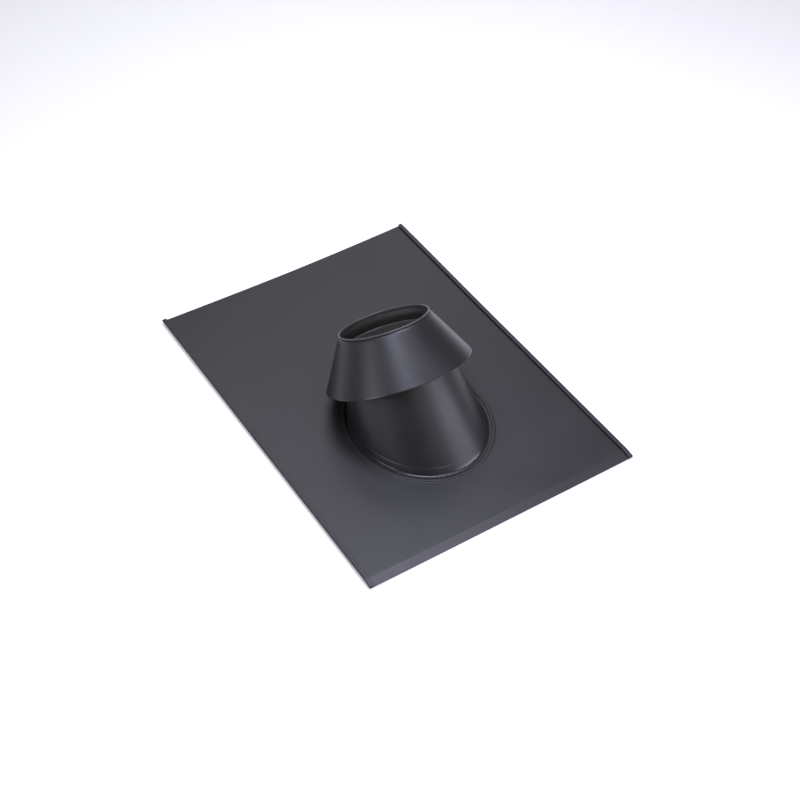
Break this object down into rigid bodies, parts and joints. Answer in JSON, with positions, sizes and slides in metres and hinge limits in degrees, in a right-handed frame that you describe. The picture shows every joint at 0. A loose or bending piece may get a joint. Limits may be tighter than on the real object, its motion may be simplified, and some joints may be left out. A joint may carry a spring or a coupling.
{
  "type": "pipe flashing boot",
  "caption": "Black sheet-steel roof flashing for a round flue pipe: hemmed base plate, leaning conical skirt and storm collar.",
  "frame": {"origin": "centre of the outline's foot: middle of the plate's width and length, at the level of the eave strip's lowest edge", "axes": "+Z is the base plate's outward normal, +Y runs up the roof along the plate's length, +X across it; the pipe's axis leans 32 degrees from +Z towards +Y"},
  "size_m": [0.5, 0.7, 0.1855],
  "materials": {
    "coated_sheet": "satin black coil coating on galvanised steel"
  },
  "bodies": {
    "root": {"base_plate": "coated_sheet", "skirt": "coated_sheet", "storm_collar": "coated_sheet", "spacer_left": "coated_sheet", "spacer_front": "coated_sheet", "spacer_right": "coated_sheet"}
  },
  "joints": []
}
